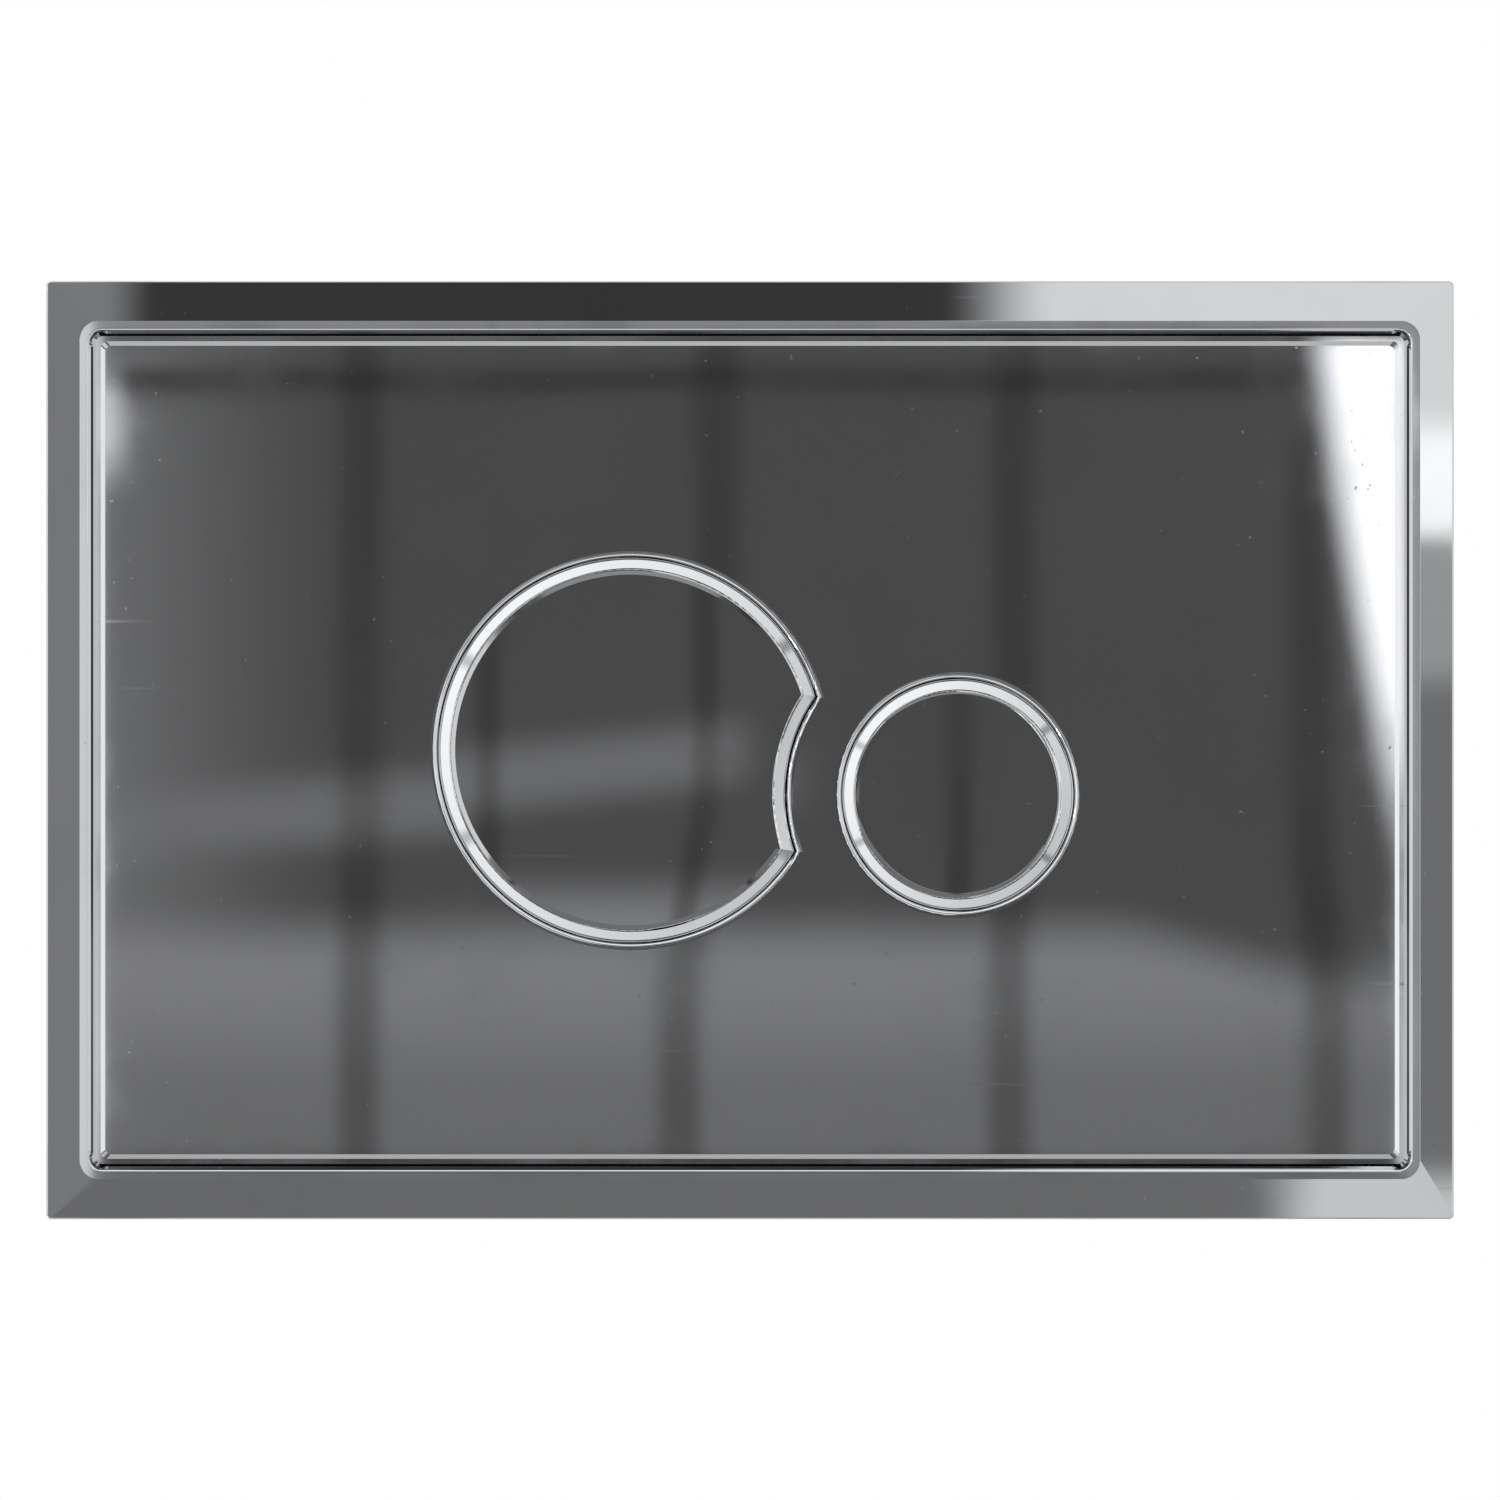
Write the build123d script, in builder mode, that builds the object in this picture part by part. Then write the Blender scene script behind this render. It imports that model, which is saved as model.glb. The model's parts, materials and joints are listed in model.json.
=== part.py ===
"""Dual flush button plate for a concealed cistern.

The plate faces -Y, +Z is up and the wall is the plane Y = 0. Heights are measured from the wall towards
the person who presses the buttons, so a negative height lies inside the wall.
"""

import os
from math import copysign, cos, radians, sin, tan

from build123d import *

os.makedirs("parts", exist_ok=True)

# Cover plate: border, ridge, step, groove and panel
PLATE_W = 246.0
PLATE_H = 164.0
PLATE_CORNER = 0.8
EDGE_HEIGHT = 10.0
EDGE_ROUND = 0.3
BORDER_SIDE = 5.9
BORDER_TOP = 7.0
BORDER_RISE = 0.8
RIDGE_W = 1.5
RIDGE_CORNER = 3.3
RIDGE_ROUND = 0.35
STEP_DEPTH = 2.4
STEP_DRAFT = 20.0
STEP_CORNER = 1.2
GROOVE_W = 0.9
GROOVE_DEPTH = 0.5
SHOULDER_W = 0.8
SHOULDER_DROP = 0.2
PANEL_T = 2.4
WALL_T = 2.2

# Buttons and their openings
FULL_CENTER = (-20.9, 0.0)
HALF_CENTER = (36.4, -7.8)
FULL_R = 33.65
HALF_R = 20.2
PANEL_STRIP = 9.5
BUTTON_GAP = 0.3
BUTTON_PROUD = 0.2
BUTTON_T = 2.2
SKIRT_T = 1.6
TRAVEL = 5.0
CROWN_SLOPE = 3.0
RIM_CROWN_R = 14.0
RIM_ROUND = 1.0
RIM_BAND = 1.8
RIM_SLOPE = 28.0
LIP_CROWN_R = 8.0
LIP_ROUND = 0.7
SLEEVE_DEPTH = 5.0
SLEEVE_T = 1.6
LUG_T = 1.2
LUG_W = 8.0
LUG_REACH = 1.0
LUG_PLAY = 0.2
FULL_LUG_ANGLES = (100.0, 180.0, 260.0)
HALF_LUG_ANGLES = (60.0, 180.0, 300.0)

# Button carrier behind the panel
CARRIER_MARGIN = 5.45
CARRIER_CORNER = 6.0
CARRIER_T = 2.0
CARRIER_RIM = 3.0
RIM_T = 1.6
POST_INSET = 6.0
POST_MIDDLE_X = 14.0
POST_R = 3.5
RIB_T = 1.4
RIB_DEPTH = 3.0
RIB_PLAY = 1.0
BUMPER_R = 2.5
BUMPER_T = 1.4
STOP_PLAY = 0.2
SNAP_X = 40.0
SNAP_W = 12.0
SNAP_ARM = 10.0
SNAP_T = 1.6
SNAP_RISE = 6.5
SNAP_NIB = 1.4
SNAP_CATCH = 2.4
SNAP_PLAY = 0.3

# Screws, springs and push rods
SCREW_R = 1.45
SCREW_PLAY = 0.05
SCREW_LENGTH = 10.0
SCREW_SPARE = 1.0
SCREW_HEAD_R = 3.0
SCREW_HEAD_T = 1.8
ROD_PITCH = 66.0
BOSS_R = 3.2
PUSH_PLAY = 0.25
SPIGOT_DEPTH = 2.0
SPIGOT_T = 1.0
HEAD_R = 3.8
HEAD_PLAY = 0.4
HEAD_COLLAR_R = 5.5
HEAD_COLLAR_T = 1.5
HEAD_BORE_DEPTH = 14.0
BUSH_PLAY = 0.08
BUSH_LENGTH = 10.0
BUSH_T = 2.2
PUSH_ROD_R = 2.5
PUSH_ROD_LENGTH = 60.0
THREAD_PLAY = 0.05
ROD_NUT_AF = 8.0
ROD_NUT_T = 3.0
COIL_WIRE_R = 0.45
COIL_PLAY = 0.3
COIL_TURNS = 4.0

# Mounting frame and its fixings
FLANGE_T = 2.0
FLANGE_PLAY = 2.3
FLANGE_CORNER = 4.0
LOCATOR_PITCH = 80.0
LOCATOR_PLAY = 0.3
WELL_MARGIN = 1.0
WELL_CORNER = 8.0
WELL_T = 2.0
WELL_ROUND = 1.0
FLOOR_PLAY = 1.0
GUSSET_RUN = 9.0
GUSSET_DROP = 7.0
GUSSET_XS = (-60.0, 0.0, 60.0)
GUSSET_ZS = (-20.0, 20.0)
FIXING_ROD_R = 3.0
FIXING_ROD_LENGTH = 68.0
FIXING_SHANK_R = 2.65
FIXING_FRONT_THREAD = 20.0
FIXING_REAR_THREAD = 30.0
FIXING_CHAMFER = 0.75
FIXING_SLOT = 14.0
FIXING_SLOT_PLAY = 0.4
WASHER_R = 9.0
WASHER_T = 1.2
NUT_HUB_R = 6.0
NUT_HUB_T = 7.0
NUT_WING_R = 13.0
NUT_WING_T = 3.0
NUT_WING_RISE = 4.0
NUT_PLAY = 4.05

# Heights that follow from the sizes above
ridge = EDGE_HEIGHT + BORDER_RISE
panel = ridge - STEP_DEPTH
groove = panel - GROOVE_DEPTH
panel_back = panel - PANEL_T
rib_end = FLANGE_T + RIB_PLAY
sleeve_end = panel_back - SLEEVE_DEPTH
face = panel + BUTTON_PROUD
underside = face - BUTTON_T
lug_top = sleeve_end - LUG_PLAY
skirt_end = lug_top - LUG_T
bumper_top = skirt_end - TRAVEL - STOP_PLAY
carrier_front = bumper_top - BUMPER_T
carrier_back = carrier_front - CARRIER_T
boss_end = carrier_front + SPIGOT_DEPTH + FLOOR_PLAY
head_front = boss_end - PUSH_PLAY
collar_front = carrier_back - HEAD_PLAY
collar_back = collar_front - HEAD_COLLAR_T
floor_front = collar_back - TRAVEL - FLOOR_PLAY
floor_back = floor_front - WELL_T
bush_end = floor_front - BUSH_LENGTH
head_back = bush_end - ROD_NUT_T
push_rod_front = head_back + HEAD_BORE_DEPTH - FLOOR_PLAY
snap_front = carrier_front + SNAP_RISE
nib_front = snap_front - SNAP_T
nib_back = nib_front - SNAP_CATCH
nut_back = floor_front + WASHER_T
nut_front = nut_back + NUT_HUB_T
fixing_rod_front = nut_front + FLOOR_PLAY
fixing_rod_back = fixing_rod_front - FIXING_ROD_LENGTH
coil_height = underside - COIL_PLAY - carrier_front - 2 * COIL_WIRE_R

# Plan sizes that follow from the sizes above
bite_r = HALF_R + PANEL_STRIP + 2 * BUTTON_GAP
ridge_w = PLATE_W - 2 * BORDER_SIDE
ridge_h = PLATE_H - 2 * BORDER_TOP
step_run = RIDGE_W + (ridge - groove) * tan(radians(STEP_DRAFT))
step_w = ridge_w - 2 * step_run
step_h = ridge_h - 2 * step_run
shoulder_w = step_w - 2 * GROOVE_W
shoulder_h = step_h - 2 * GROOVE_W
panel_w = shoulder_w - 2 * SHOULDER_W
panel_h = shoulder_h - 2 * SHOULDER_W
inner_w = PLATE_W - 2 * WALL_T
inner_h = PLATE_H - 2 * WALL_T
flange_w = inner_w - 2 * FLANGE_PLAY
flange_h = inner_h - 2 * FLANGE_PLAY
button_margin = LUG_REACH + BUTTON_GAP + CARRIER_MARGIN + RIM_T
carrier_w = 2 * (max(FULL_R - FULL_CENTER[0], HALF_R + HALF_CENTER[0]) + button_margin)
carrier_h = 2 * (FULL_R + button_margin)
post_x = carrier_w / 2 - POST_INSET
post_z = carrier_h / 2 - POST_INSET
fixing_pitch = carrier_w + 2 * (NUT_HUB_R + NUT_PLAY)
well_w = fixing_pitch + 2 * (WASHER_R + WELL_MARGIN)
well_h = carrier_h + 2 * SNAP_ARM
head_hole_r = HEAD_R + HEAD_PLAY
spigot_r = head_hole_r + SPIGOT_T
coil_r = spigot_r + COIL_PLAY + COIL_WIRE_R
cup_r = coil_r + COIL_WIRE_R + COIL_PLAY
snap_z = well_h / 2 - SNAP_PLAY
post_places = [(x, z) for x in (-post_x, POST_MIDDLE_X, post_x) for z in (post_z, -post_z)]
full_push = (-ROD_PITCH / 2, HALF_CENTER[1] / 2)
half_push = (ROD_PITCH / 2, HALF_CENTER[1] / 2)


def level(height):
    """Plane parallel to the wall, with the sketch's x to the right and its y up."""
    return Plane.XZ.offset(height)


def section(center):
    """Plane through an axis, away from the plate's middle, with x along the radius and y the height."""
    away = copysign(1, center[0])
    return Plane(origin=(center[0], 0, center[1]), x_dir=(away, 0, 0), z_dir=(0, 0, -away))


def press_axis(center):
    """Axis on which a button or a rod travels."""
    return Axis((center[0], 0, center[1]), (0, -1, 0))


def edges_at(height):
    """Edges of the current part that lie at one height."""
    return edges().filter_by_position(Axis.Y, -height, -height)


def inside_ridge(edge):
    """Whether an edge runs along the step and not along the border."""
    middle = edge.center()
    return abs(middle.X) < (ridge_w - RIDGE_W) / 2 and abs(middle.Z) < (ridge_h - RIDGE_W) / 2


def crescent(grow):
    """Outline of the large button: a disc with a round bite about the small button's axis."""
    with Locations(FULL_CENTER):
        Circle(FULL_R + grow)
    with Locations(HALF_CENTER):
        Circle(bite_r - grow, mode=Mode.SUBTRACT)


def rolled_edge(wall, inward, top, crown_r, round_r, end_slope, band):
    """Draw the edge of a polished face, from the flat over a soft crown and a tight round to its wall.

    Each point lies some inset from the wall, on the side that inward gives, and some drop below the flat.
    Returns the point where the flat ends and the point where the wall begins.
    """
    start = radians(CROWN_SLOPE)
    end = radians(end_slope)

    def point(radius, slope, inset, drop):
        far = inset - radius * sin(slope)
        low = drop - radius * cos(slope)
        return wall + inward * far, top - low

    band_drop = band * tan(end) if band else 0.0
    round_inset = band + round_r * sin(end)
    crown_inset = round_inset - round_r * sin(start) + crown_r * sin(start)
    crown_drop = crown_r
    round_drop = crown_r * (1 - cos(start)) + round_r * cos(start)
    flat = point(crown_r, 0, crown_inset, crown_drop)
    middle = point(crown_r, start, crown_inset, crown_drop)
    rounded = point(round_r, end, round_inset, round_drop)
    ThreePointArc(flat, point(crown_r, start / 2, crown_inset, crown_drop), middle)
    ThreePointArc(middle, point(round_r, (start + end) / 2, round_inset, round_drop), rounded)
    if not band:
        return flat, rounded
    foot = (wall, rounded[1] - band_drop)
    Line(rounded, foot)
    return flat, foot


def rim(wall, inward):
    """Chamfered rim of a button."""
    return rolled_edge(wall, inward, face, RIM_CROWN_R, RIM_ROUND, RIM_SLOPE, RIM_BAND)


def lip(wall, inward):
    """Rounded edge of an opening in the panel."""
    return rolled_edge(wall, inward, panel, LIP_CROWN_R, LIP_ROUND, 90.0, 0.0)


def lugs(center, radius, angles):
    """Stop lugs that stand out from a button's skirt and catch behind its sleeve."""
    depth = LUG_REACH + BUTTON_GAP + SKIRT_T
    with Locations(center):
        for angle in angles:
            with PolarLocations(radius - SKIRT_T + depth / 2, 1, start_angle=angle):
                Rectangle(depth, LUG_W)


def ribs(push, span):
    """Cross ribs and the spring's cup behind a button's face."""
    with Locations(push):
        Rectangle(span, RIB_T)
        Rectangle(RIB_T, span)
        Circle(cup_r + RIB_T)
        Circle(cup_r, mode=Mode.SUBTRACT)


def pads(center, radius, angles):
    """Rubber pads below the lugs of a button."""
    with Locations(center):
        for angle in angles:
            with PolarLocations(radius - SKIRT_T / 2, 1, start_angle=angle):
                Circle(BUMPER_R)


def gusset(wall):
    """Corner rib between the back of the flange and the outside of the well."""
    Polygon((0, wall), (GUSSET_DROP, wall), (0, wall + GUSSET_RUN), align=None)
    mirror(about=Plane.XZ)


def save(part, name):
    """Label a finished piece and write it."""
    part.label = name
    export_step(part, f"parts/{name}.step")


# Tools that cut the two openings, each with the lip that is left in the panel
with BuildPart() as full_opening:
    with BuildSketch(section(FULL_CENTER)):
        with BuildLine():
            flat, wall = lip(FULL_R + BUTTON_GAP, 1)
            Polyline(wall, (wall[0], skirt_end), (0, skirt_end), (0, face), (flat[0], face), flat)
        make_face()
    revolve(axis=press_axis(FULL_CENTER))
    with BuildSketch(section(HALF_CENTER)):
        with BuildLine():
            flat, wall = lip(bite_r - BUTTON_GAP, -1)
            Polyline(wall, (wall[0], skirt_end), (0, skirt_end), (0, face), (flat[0], face), flat)
        make_face()
    revolve(axis=press_axis(HALF_CENTER), mode=Mode.SUBTRACT)

with BuildPart() as half_opening:
    with BuildSketch(section(HALF_CENTER)):
        with BuildLine():
            flat, wall = lip(HALF_R + BUTTON_GAP, 1)
            Polyline(wall, (wall[0], skirt_end), (0, skirt_end), (0, face), (flat[0], face), flat)
        make_face()
    revolve(axis=press_axis(HALF_CENTER))

# Cover plate: bevelled border, step down to the panel, openings, sleeves, posts and ribs
with BuildPart() as cover_plate:
    with BuildSketch(level(0)):
        RectangleRounded(PLATE_W, PLATE_H, PLATE_CORNER)
    extrude(amount=EDGE_HEIGHT)
    with BuildSketch(level(EDGE_HEIGHT)):
        RectangleRounded(PLATE_W, PLATE_H, PLATE_CORNER)
    with BuildSketch(level(ridge)):
        RectangleRounded(ridge_w, ridge_h, RIDGE_CORNER)
    loft(ruled=True)
    fillet(edges_at(EDGE_HEIGHT), EDGE_ROUND)

    with BuildSketch(level(groove)):
        RectangleRounded(step_w, step_h, STEP_CORNER)
    extrude(amount=ridge - groove, taper=-STEP_DRAFT, mode=Mode.SUBTRACT)
    fillet(edges_at(ridge).filter_by(inside_ridge), RIDGE_ROUND)
    with BuildSketch(level(groove)):
        RectangleRounded(shoulder_w, shoulder_h, STEP_CORNER)
    extrude(amount=GROOVE_DEPTH - SHOULDER_DROP)
    with BuildSketch(level(panel - SHOULDER_DROP)):
        RectangleRounded(shoulder_w, shoulder_h, STEP_CORNER)
    with BuildSketch(level(panel)):
        RectangleRounded(panel_w, panel_h, STEP_CORNER)
    loft(ruled=True)

    with BuildSketch(level(0)):
        RectangleRounded(inner_w, inner_h, PLATE_CORNER)
    extrude(amount=panel_back, mode=Mode.SUBTRACT)
    with BuildSketch(level(panel_back)):
        RectangleRounded(inner_w, inner_h, PLATE_CORNER)
        RectangleRounded(step_w + 2 * WALL_T, step_h + 2 * WALL_T, STEP_CORNER, mode=Mode.SUBTRACT)
    extrude(amount=EDGE_HEIGHT - WALL_T - panel_back, mode=Mode.SUBTRACT)

    with BuildSketch(level(sleeve_end)):
        crescent(BUTTON_GAP + SLEEVE_T)
        with Locations(HALF_CENTER):
            Circle(HALF_R + BUTTON_GAP + SLEEVE_T)
    extrude(amount=SLEEVE_DEPTH)
    add(full_opening.part, mode=Mode.SUBTRACT)
    add(half_opening.part, mode=Mode.SUBTRACT)

    with BuildSketch(level(carrier_front)):
        with Locations(*post_places):
            Circle(POST_R)
    extrude(amount=panel_back - carrier_front)
    with BuildSketch(level(carrier_front)):
        with Locations(*post_places):
            Circle(SCREW_R + SCREW_PLAY)
    extrude(amount=SCREW_LENGTH, mode=Mode.SUBTRACT)

    with BuildSketch(level(rib_end)):
        with GridLocations(0, carrier_h + 2 * WALL_T, 1, 2):
            Rectangle(panel_w, RIB_T)
        for rib_x in (carrier_w / 2 + WALL_T, (carrier_w + panel_w) / 4):
            with GridLocations(2 * rib_x, 0, 2, 1):
                Rectangle(RIB_T, panel_h)
    extrude(amount=panel_back - rib_end)

    locator = FLANGE_PLAY - LOCATOR_PLAY
    with BuildSketch(level(LOCATOR_PLAY)):
        with GridLocations(LOCATOR_PITCH, inner_h - locator, 2, 2):
            Rectangle(RIB_T, locator)
        with GridLocations(inner_w - locator, LOCATOR_PITCH, 2, 2):
            Rectangle(locator, RIB_T)
    extrude(amount=panel_back - LOCATOR_PLAY)
save(cover_plate.part, "cover_plate")

# Large button: full flush
with BuildPart() as full_flush_button:
    with BuildSketch(section(FULL_CENTER)):
        with BuildLine():
            flat, wall = rim(FULL_R, -1)
            Polyline(wall, (wall[0], skirt_end), (0, skirt_end), (0, face), flat)
        make_face()
    revolve(axis=press_axis(FULL_CENTER))
    with BuildSketch(section(HALF_CENTER)):
        with BuildLine():
            flat, wall = rim(bite_r, 1)
            low = skirt_end - LUG_T
            high = face + LUG_T
            Polyline(wall, (wall[0], low), (0, low), (0, high), (flat[0], high), flat)
        make_face()
    revolve(axis=press_axis(HALF_CENTER), mode=Mode.SUBTRACT)
    with BuildSketch(level(skirt_end)):
        crescent(-SKIRT_T)
    extrude(amount=underside - skirt_end, mode=Mode.SUBTRACT)
    with BuildSketch(level(skirt_end)):
        lugs(FULL_CENTER, FULL_R, FULL_LUG_ANGLES)
    extrude(amount=LUG_T)
    with BuildSketch(level(underside - RIB_DEPTH)):
        ribs(full_push, 4 * FULL_R)
        with Locations(FULL_CENTER):
            Circle(FULL_R - SKIRT_T, mode=Mode.INTERSECT)
        with Locations(HALF_CENTER):
            Circle(bite_r + SKIRT_T, mode=Mode.SUBTRACT)
    extrude(amount=RIB_DEPTH)
    with BuildSketch(level(boss_end)):
        with Locations(full_push):
            Circle(BOSS_R)
    extrude(amount=underside - boss_end)
save(full_flush_button.part, "full_flush_button")

# Small button: half flush
with BuildPart() as half_flush_button:
    with BuildSketch(section(HALF_CENTER)):
        with BuildLine():
            flat, wall = rim(HALF_R, -1)
            Polyline(wall, (wall[0], skirt_end), (0, skirt_end), (0, face), flat)
        make_face()
    revolve(axis=press_axis(HALF_CENTER))
    with BuildSketch(level(skirt_end)):
        with Locations(HALF_CENTER):
            Circle(HALF_R - SKIRT_T)
    extrude(amount=underside - skirt_end, mode=Mode.SUBTRACT)
    with BuildSketch(level(skirt_end)):
        lugs(HALF_CENTER, HALF_R, HALF_LUG_ANGLES)
    extrude(amount=LUG_T)
    with BuildSketch(level(underside - RIB_DEPTH)):
        ribs(half_push, 4 * HALF_R)
        with Locations(HALF_CENTER):
            Circle(HALF_R - SKIRT_T, mode=Mode.INTERSECT)
    extrude(amount=RIB_DEPTH)
    with BuildSketch(level(boss_end)):
        with Locations(half_push):
            Circle(BOSS_R)
    extrude(amount=underside - boss_end)
save(half_flush_button.part, "half_flush_button")

# Button carrier: tray with spring spigots, ribs and four snap arms
with BuildPart() as button_carrier:
    with BuildSketch(level(carrier_back)):
        RectangleRounded(carrier_w, carrier_h, CARRIER_CORNER)
    extrude(amount=CARRIER_T)
    with BuildSketch(level(carrier_front)):
        RectangleRounded(carrier_w, carrier_h, CARRIER_CORNER)
        offset(amount=-RIM_T, mode=Mode.SUBTRACT)
    extrude(amount=CARRIER_RIM)
    with BuildSketch(level(carrier_front)):
        with Locations(full_push, half_push):
            Circle(spigot_r)
    extrude(amount=SPIGOT_DEPTH)
    with BuildSketch(level(carrier_back - RIB_DEPTH)):
        with GridLocations(0, carrier_h / 2, 1, 2):
            Rectangle(carrier_w - 2 * RIM_T, RIB_T)
        Rectangle(RIB_T, carrier_h - 2 * RIM_T)
    extrude(amount=RIB_DEPTH)
    for snap_x in (-SNAP_X, SNAP_X):
        with BuildSketch(Plane.YZ.offset(snap_x)):
            with BuildLine():
                Polyline(
                    (-carrier_back, carrier_h / 2 - RIM_T),
                    (-carrier_back, snap_z),
                    (-nib_back, snap_z),
                    (-nib_front, snap_z + SNAP_NIB),
                    (-nib_front, snap_z),
                    (-snap_front, snap_z),
                    (-snap_front, snap_z - SNAP_T),
                    (-carrier_front, snap_z - SNAP_T),
                    (-carrier_front, carrier_h / 2 - RIM_T),
                    close=True,
                )
            make_face()
            mirror(about=Plane.XZ)
        extrude(amount=SNAP_W / 2, both=True)
    with BuildSketch(level(carrier_back)):
        with Locations(full_push, half_push):
            Circle(head_hole_r)
        with Locations(*post_places):
            Circle(SCREW_R + SCREW_PLAY)
    extrude(amount=CARRIER_T + SPIGOT_DEPTH, mode=Mode.SUBTRACT)
save(button_carrier.part, "button_carrier")

# Six self-tapping screws hold the carrier on the posts
with BuildPart() as carrier_screws:
    with BuildSketch(level(carrier_back - SCREW_HEAD_T)):
        with Locations(*post_places):
            Circle(SCREW_HEAD_R)
    extrude(amount=SCREW_HEAD_T)
    chamfer(carrier_screws.edges().group_by(Axis.Y)[-1], SCREW_HEAD_T / 2)
    with BuildSketch(level(carrier_back)):
        with Locations(*post_places):
            Circle(SCREW_R)
    extrude(amount=CARRIER_T + SCREW_LENGTH - SCREW_SPARE)
save(carrier_screws.part, "carrier_screws")

# Rubber pads end the travel of each button
with BuildPart() as full_button_bumpers:
    with BuildSketch(level(carrier_front)):
        pads(FULL_CENTER, FULL_R, FULL_LUG_ANGLES)
    extrude(amount=BUMPER_T)
save(full_button_bumpers.part, "full_button_bumpers")

with BuildPart() as half_button_bumpers:
    with BuildSketch(level(carrier_front)):
        pads(HALF_CENTER, HALF_R, HALF_LUG_ANGLES)
    extrude(amount=BUMPER_T)
save(half_button_bumpers.part, "half_button_bumpers")

# Mounting frame: flange on the tiles, well in the wall opening, bushes for the push heads
with BuildPart() as mounting_frame:
    with BuildSketch(level(0)):
        RectangleRounded(flange_w, flange_h, FLANGE_CORNER)
    extrude(amount=FLANGE_T)
    with BuildSketch(level(floor_back)):
        RectangleRounded(well_w + 2 * WELL_T, well_h + 2 * WELL_T, WELL_CORNER + WELL_T)
    extrude(amount=-floor_back)
    fillet(edges_at(floor_back), WELL_ROUND)
    with BuildSketch(level(floor_front)):
        RectangleRounded(well_w, well_h, WELL_CORNER)
    extrude(amount=FLANGE_T - floor_front, mode=Mode.SUBTRACT)
    with BuildSketch(level(bush_end)):
        with Locations(full_push, half_push):
            Circle(HEAD_R + BUSH_PLAY + BUSH_T)
    extrude(amount=floor_back - bush_end)
    with BuildSketch(level(floor_back - RIB_DEPTH)):
        with GridLocations(ROD_PITCH, 0, 2, 1):
            Rectangle(RIB_T, well_h)
        with Locations((0, full_push[1])):
            Rectangle(fixing_pitch - 2 * FIXING_SLOT, RIB_T)
    extrude(amount=RIB_DEPTH)
    with BuildSketch(level(bush_end)):
        with Locations(full_push, half_push):
            Circle(HEAD_R + BUSH_PLAY)
    extrude(amount=BUSH_LENGTH, mode=Mode.SUBTRACT)
    with BuildSketch(level(floor_back)):
        with GridLocations(fixing_pitch, 0, 2, 1):
            SlotOverall(FIXING_SLOT, 2 * (FIXING_ROD_R + FIXING_SLOT_PLAY))
    extrude(amount=WELL_T, mode=Mode.SUBTRACT)
    with BuildSketch(level(nib_back - SNAP_PLAY)):
        with GridLocations(2 * SNAP_X, well_h + WELL_T, 2, 2):
            Rectangle(SNAP_W + 2 * SNAP_PLAY, WELL_T)
    extrude(amount=nib_front - nib_back + 2 * SNAP_PLAY, mode=Mode.SUBTRACT)
    for gusset_x in GUSSET_XS:
        with BuildSketch(Plane.YZ.offset(gusset_x)):
            gusset(well_h / 2 + WELL_T)
        extrude(amount=RIB_T / 2, both=True)
    for gusset_z in GUSSET_ZS:
        with BuildSketch(Plane.YX.offset(gusset_z)):
            gusset(well_w / 2 + WELL_T)
        extrude(amount=RIB_T / 2, both=True)
save(mounting_frame.part, "mounting_frame")

# Fixings: a stud with two threaded ends, a washer and a wing nut on each side
for side, x in (("left", -fixing_pitch / 2), ("right", fixing_pitch / 2)):
    with BuildPart() as fixing_rod:
        with BuildSketch(section((x, 0))):
            with BuildLine():
                Polyline(
                    (0, fixing_rod_back),
                    (FIXING_ROD_R - FIXING_CHAMFER, fixing_rod_back),
                    (FIXING_ROD_R, fixing_rod_back + FIXING_CHAMFER),
                    (FIXING_ROD_R, fixing_rod_back + FIXING_REAR_THREAD),
                    (FIXING_SHANK_R, fixing_rod_back + FIXING_REAR_THREAD),
                    (FIXING_SHANK_R, fixing_rod_front - FIXING_FRONT_THREAD),
                    (FIXING_ROD_R, fixing_rod_front - FIXING_FRONT_THREAD),
                    (FIXING_ROD_R, fixing_rod_front - FIXING_CHAMFER),
                    (FIXING_ROD_R - FIXING_CHAMFER, fixing_rod_front),
                    (0, fixing_rod_front),
                    close=True,
                )
            make_face()
        revolve(axis=press_axis((x, 0)))
    save(fixing_rod.part, f"fixing_rod_{side}")

    with BuildPart() as rod_washer:
        with BuildSketch(level(floor_front)):
            with Locations((x, 0)):
                Circle(WASHER_R)
                Circle(FIXING_ROD_R + FIXING_SLOT_PLAY, mode=Mode.SUBTRACT)
        extrude(amount=WASHER_T)
    save(rod_washer.part, f"rod_washer_{side}")

    with BuildPart() as wing_nut:
        with BuildSketch(level(nut_back)):
            with Locations((x, 0)):
                Circle(NUT_HUB_R)
        extrude(amount=NUT_HUB_T)
        chamfer(wing_nut.edges().group_by(Axis.Y)[0], NUT_WING_T / 3)
        with BuildSketch(Plane.YZ.offset(x)):
            with BuildLine():
                Polyline(
                    (-nut_back - NUT_WING_T / 3, 0),
                    (-nut_back - NUT_WING_T, NUT_WING_R - NUT_WING_T),
                    (-nut_front, NUT_WING_R),
                    (-nut_front - NUT_WING_RISE, NUT_WING_R),
                    (-nut_front - NUT_WING_RISE, NUT_HUB_R + NUT_WING_T / 2),
                    (-nut_front + NUT_WING_T / 3, 0),
                    close=True,
                )
            make_face()
            fillet(vertices().group_by(Axis.Z)[-1], NUT_WING_T / 2)
            mirror(about=Plane.XZ)
        extrude(amount=NUT_WING_T / 2, both=True)
        with BuildSketch(level(nut_back)):
            with Locations((x, 0)):
                Circle(FIXING_ROD_R + THREAD_PLAY)
        extrude(amount=NUT_HUB_T + NUT_WING_RISE, mode=Mode.SUBTRACT)
    save(wing_nut.part, f"wing_nut_{side}")

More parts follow.
